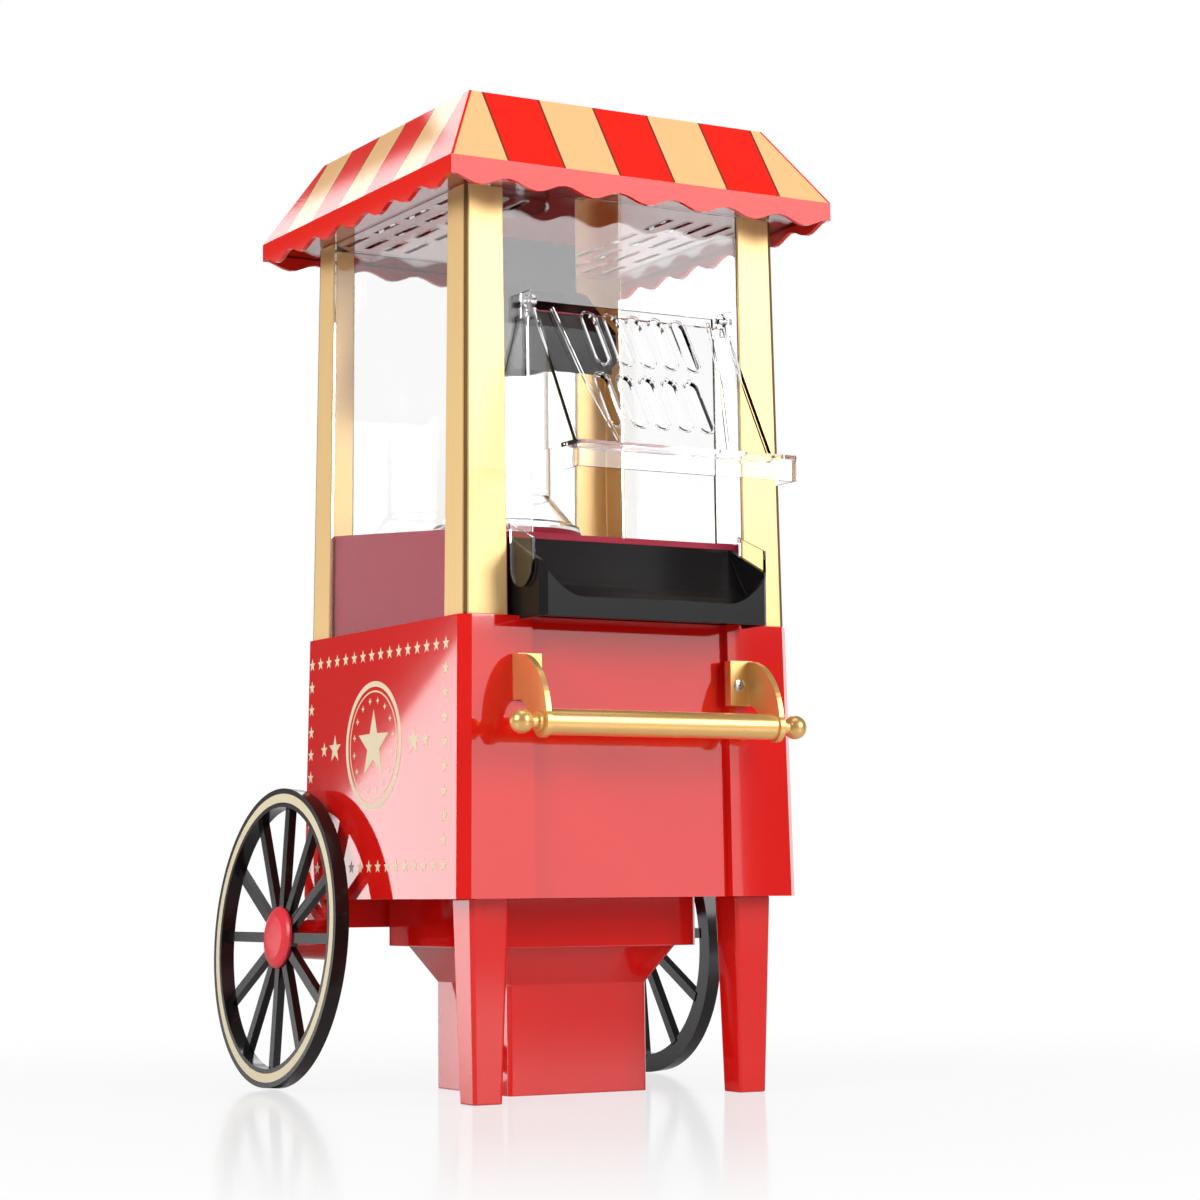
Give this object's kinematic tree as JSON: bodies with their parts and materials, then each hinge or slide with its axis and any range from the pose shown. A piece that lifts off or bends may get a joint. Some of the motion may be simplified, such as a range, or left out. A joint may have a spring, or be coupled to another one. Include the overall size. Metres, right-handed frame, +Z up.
{
  "type": "hot-air popcorn maker",
  "caption": "Cart-shaped hot-air popcorn maker: clear cabin under a lift-off awning roof, flip-up serving flap, scoop tray, push handle, front legs and spoked wheels.",
  "frame": {"origin": "on the floor, on the underside of the pedestal, under the middle of the cabinet", "axes": "+Z up; the serving side faces -Y and the switch is at +Y; +X is the right-hand side seen from the front"},
  "size_m": [0.2434, 0.3202, 0.5052],
  "materials": {
    "red_plastic": "glossy red moulding",
    "awning_red": "glossy red moulding with cream stripes",
    "gold_plastic": "gold lacquered moulding",
    "black_plastic": "glossy black moulding",
    "clear_plastic": "clear moulded plastic",
    "bed_plastic": "dark red moulding",
    "aluminium": "spun aluminium",
    "steel": "plated steel",
    "cream_print": "cream printed band",
    "mica": "pressed mica sheet"
  },
  "bodies": {
    "cabinet": {"body_shell": "red_plastic", "floor_plate": "red_plastic", "hopper": "red_plastic", "base_cover": "black_plastic", "base_screws": "steel", "left_leg": "red_plastic", "right_leg": "red_plastic", "axle_beam": "red_plastic", "axle_pins": "steel", "left_bracket": "gold_plastic", "right_bracket": "gold_plastic", "bracket_screws": "steel", "handle_bar": "gold_plastic", "front_left_post": "gold_plastic", "front_right_post": "gold_plastic", "rear_left_post": "gold_plastic", "rear_right_post": "gold_plastic", "left_window": "clear_plastic", "right_window": "clear_plastic", "rear_window": "clear_plastic", "front_window": "clear_plastic", "hinge_pins": "steel", "popcorn_bed": "bed_plastic", "popping_chamber": "aluminium", "chimney": "clear_plastic", "outlet_hood": "black_plastic", "ceiling": "clear_plastic", "fan_shroud": "black_plastic", "motor_mount": "steel", "motor": "steel", "heater_housing": "aluminium", "heater_former": "mica", "heater_coil": "steel", "thermostat": "steel", "switch_bezel": "black_plastic", "cord_gland": "black_plastic"},
    "flap": {"flap": "clear_plastic"},
    "tray": {"tray": "black_plastic"},
    "awning": {"roof": "awning_red"},
    "cap": {"measuring_cap": "clear_plastic"},
    "left_wheel_set": {"left_wheel": "black_plastic", "left_rim_band": "cream_print", "left_hub_cap": "red_plastic"},
    "right_wheel_set": {"right_wheel": "black_plastic", "right_rim_band": "cream_print", "right_hub_cap": "red_plastic"},
    "fan": {"motor_shaft": "steel", "fan_impeller": "black_plastic"},
    "rocker": {"switch_rocker": "black_plastic"}
  },
  "joints": [
    {"name": "flap_hinge", "type": "hinge", "parent": "cabinet", "child": "flap", "pos_m": [0, -0.0915, 0.397], "axis": [-1, 0, 0], "range_deg": [0, 75]},
    {"name": "tray_slide", "type": "slide", "parent": "cabinet", "child": "tray", "axis": [0, -1, 0], "range_m": [0, 0.05]},
    {"name": "awning_lift", "type": "slide", "parent": "cabinet", "child": "awning", "axis": [0, 0, 1], "range_m": [0, 0.06]},
    {"name": "cap_lift", "type": "slide", "parent": "awning", "child": "cap", "axis": [0, 0, 1], "range_m": [0, 0.04]},
    {"name": "left_wheel_spin", "type": "hinge", "parent": "cabinet", "child": "left_wheel_set", "pos_m": [-0.10715, 0.091, 0.07961], "axis": [-0.9976, 0, 0.0698], "continuous": true},
    {"name": "right_wheel_spin", "type": "hinge", "parent": "cabinet", "child": "right_wheel_set", "pos_m": [0.10715, 0.091, 0.07961], "axis": [0.9976, 0, 0.0698], "continuous": true},
    {"name": "fan_spin", "type": "hinge", "parent": "cabinet", "child": "fan", "pos_m": [0, 0.04, 0.123], "axis": [0, 0, 1], "continuous": true},
    {"name": "switch_rock", "type": "hinge", "parent": "cabinet", "child": "rocker", "pos_m": [0.052, 0.09173, 0.195], "axis": [1, 0, 0], "range_deg": [0, 16]}
  ]
}
